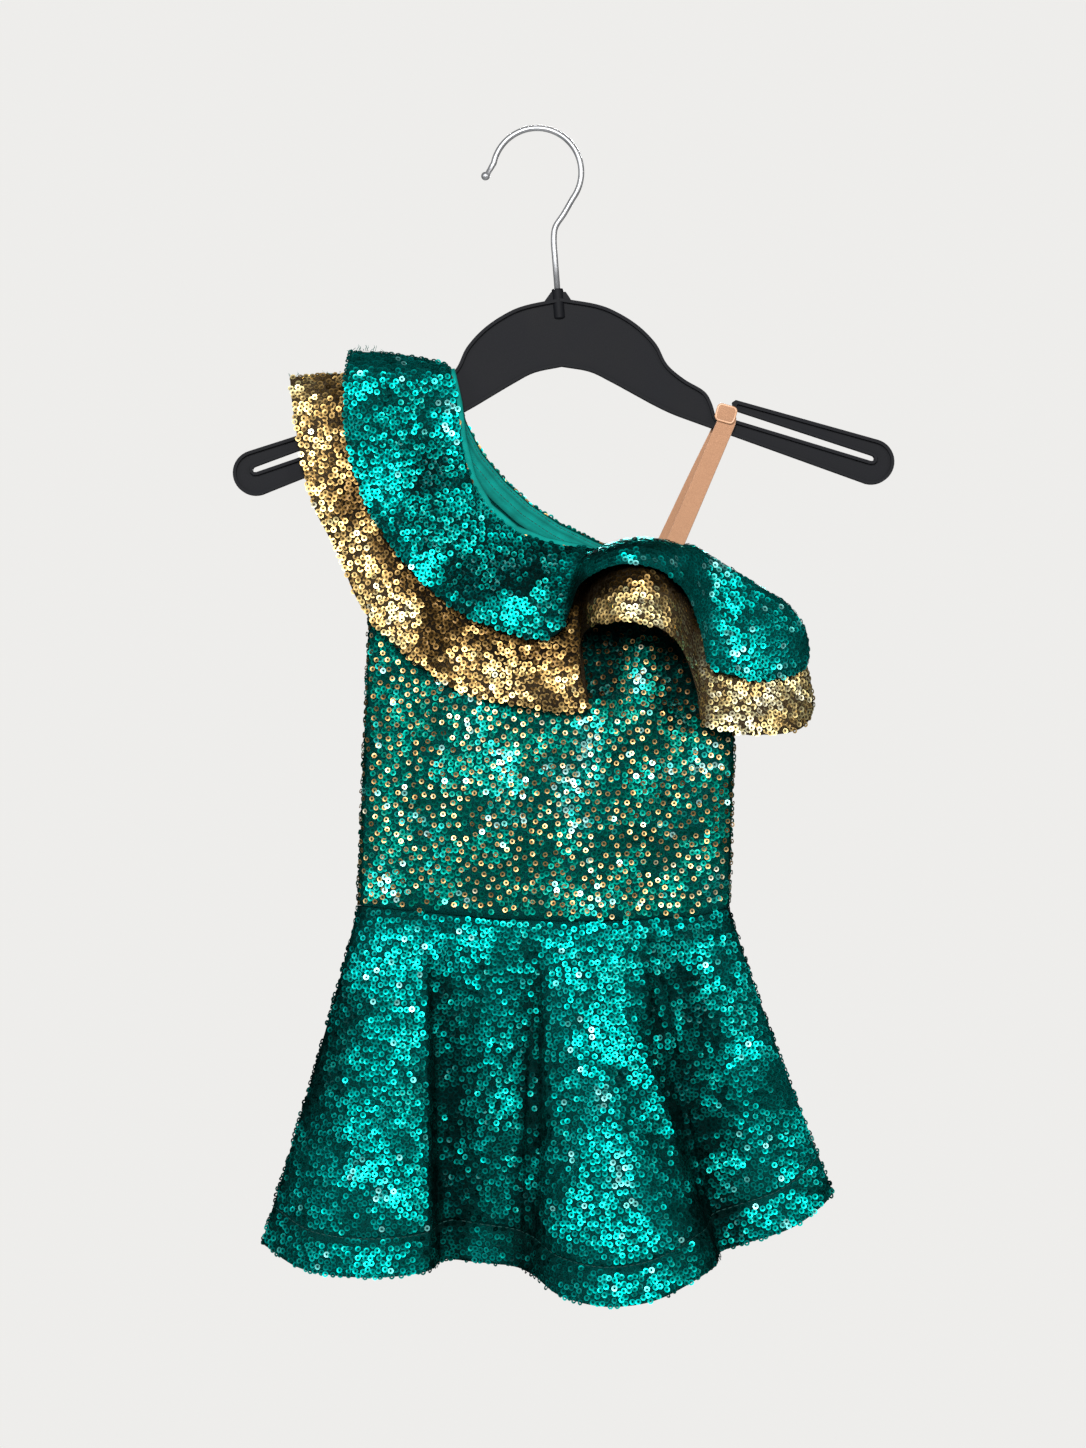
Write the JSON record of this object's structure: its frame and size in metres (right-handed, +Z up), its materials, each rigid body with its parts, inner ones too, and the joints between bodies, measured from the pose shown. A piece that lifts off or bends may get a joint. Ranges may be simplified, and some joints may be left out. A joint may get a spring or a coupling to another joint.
{
  "type": "sequin dress on a hanger",
  "caption": "Small child's one-shoulder stage dress in teal and gold sequin cloth, with a double ruffle and a flared skirt, hanging on a moulded hanger.",
  "frame": {"origin": "inside of the top of the hook's bend, where a nail, peg or rod holds the hanger", "axes": "+Z up, -Y towards the viewer of the dress's front, +X to the right seen from the front (the strap's side)"},
  "size_m": [0.3554, 0.0944, 0.6287],
  "materials": {
    "two_tone_sequin_cloth": "stretch mesh covered with teal sequins and loose gold ones, glittering",
    "teal_sequin_cloth": "stretch mesh covered with overlapping teal sequins, glittering",
    "gold_sequin_cloth": "stretch mesh covered with overlapping gold sequins, glittering",
    "teal_binding": "smooth matte knit",
    "tan_elastic": "plush elastic, matte",
    "tan_coated_metal": "satin enamel",
    "black_plastic": "fine matte grain",
    "chrome": "bright plated wire"
  },
  "bodies": {
    "root": {"bodice_front": "two_tone_sequin_cloth", "bodice_back": "two_tone_sequin_cloth", "skirt_front": "teal_sequin_cloth", "skirt_back": "teal_sequin_cloth", "ruffle_teal_front": "teal_sequin_cloth", "ruffle_teal_back": "teal_sequin_cloth", "ruffle_gold_front": "gold_sequin_cloth", "ruffle_gold_back": "gold_sequin_cloth", "neck_binding": "teal_binding", "shoulder_strap": "tan_elastic", "strap_slider": "tan_coated_metal", "hanger_body": "black_plastic", "hanger_hook": "chrome"}
  },
  "joints": []
}
